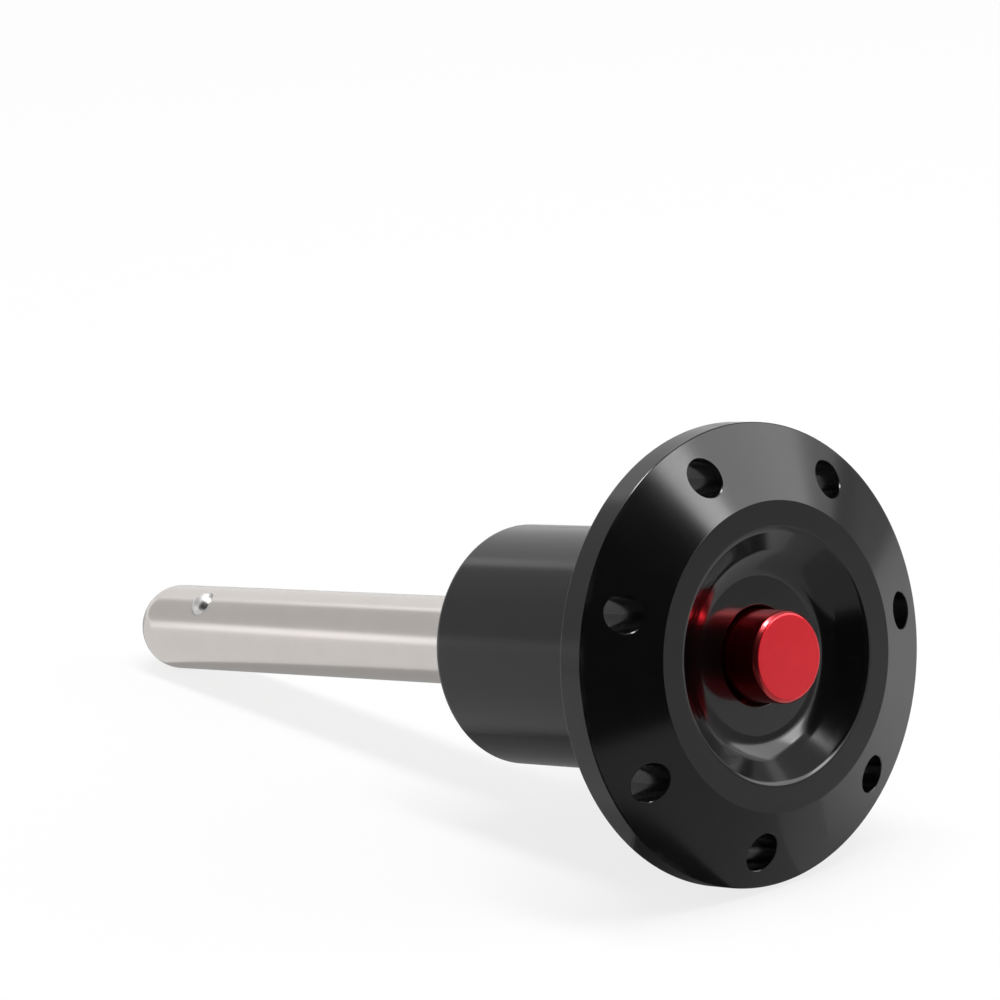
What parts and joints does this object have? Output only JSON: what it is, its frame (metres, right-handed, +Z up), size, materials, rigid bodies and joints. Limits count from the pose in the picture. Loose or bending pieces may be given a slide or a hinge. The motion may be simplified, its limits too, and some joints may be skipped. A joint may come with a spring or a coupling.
{
  "type": "quick release pin",
  "caption": "Ball-lock quick release pin: steel shank with spring-loaded locking balls near its rounded tip, flanged black handle with rim holes and a red push button in a dish.",
  "frame": {"origin": "centre of the box around the pin, on the surface it lies on", "axes": "+Z up. The pin lies on the rear edge of its flange and on its nose, as it comes to rest. Its axis is in the plane X = 0, from the button at the -Y end to the tip at the +Y end, dipping 11.7 degrees to the tip"},
  "size_m": [0.05, 0.1086, 0.0496],
  "materials": {
    "black_anodised": "turned and black anodised",
    "ground_steel": "ground stainless",
    "red_anodised": "red anodised",
    "spindle_steel": "turned",
    "spring_steel": "drawn wire",
    "ball_steel": "hardened and polished"
  },
  "bodies": {
    "housing": {"handle": "black_anodised", "shank": "ground_steel", "return_spring": "spring_steel"},
    "plunger": {"button": "red_anodised", "spindle": "spindle_steel"},
    "ball_upper": {"locking_ball_upper": "ball_steel"},
    "ball_lower": {"locking_ball_lower": "ball_steel"}
  },
  "joints": [
    {"name": "button_press", "type": "slide", "parent": "housing", "child": "plunger", "axis": [0, 0.9791, -0.2034], "range_m": [0, 0.0035], "stiffness_N_per_m": 1500, "springref_m": -0.006, "deforming": ["return_spring"]},
    {"name": "ball_upper_in", "type": "slide", "parent": "housing", "child": "ball_upper", "axis": [0.6428, -0.1558, -0.75], "range_m": [0, 0.00085]},
    {"name": "ball_lower_in", "type": "slide", "parent": "housing", "child": "ball_lower", "axis": [-0.6428, 0.1558, 0.75], "range_m": [0, 0.00085]}
  ],
  "couplings": [
    {"joint": "ball_upper_in", "follows": "button_press", "ratio": 0.24286},
    {"joint": "ball_lower_in", "follows": "button_press", "ratio": 0.24286}
  ]
}
